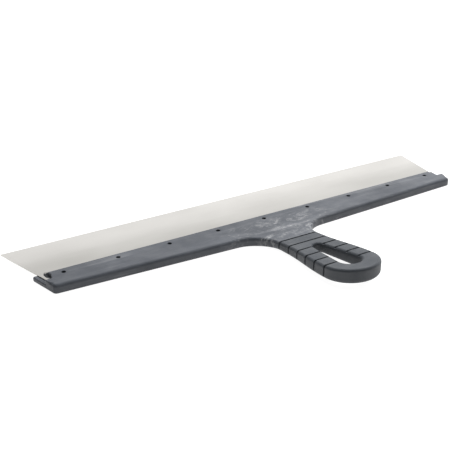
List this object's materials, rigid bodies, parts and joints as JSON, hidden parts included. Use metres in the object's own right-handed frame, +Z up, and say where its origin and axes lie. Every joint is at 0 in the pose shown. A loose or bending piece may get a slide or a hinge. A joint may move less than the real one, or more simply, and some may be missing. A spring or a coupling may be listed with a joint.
{
  "type": "wide filling knife",
  "caption": "Wide thin steel blade moulded into a long plastic jaw with a flared neck and a grooved loop handle, for spreading and smoothing filler and plaster.",
  "frame": {"origin": "middle of the tool's bounding box in plan, on the surface that the underside of the jaw stands on", "axes": "+X along the blade, +Y towards the working edge and away from the handle, +Z up out of the top face of the jaw"},
  "size_m": [0.4496, 0.2082, 0.018],
  "materials": {
    "blade_steel": "thin cold-rolled stainless sheet with a fine satin grain along the blade",
    "body_plastic": "blue-grey moulded plastic with pale flow marks at the neck and light scuffs"
  },
  "bodies": {
    "root": {"moulded_body": "body_plastic", "blade": "blade_steel"}
  },
  "joints": []
}
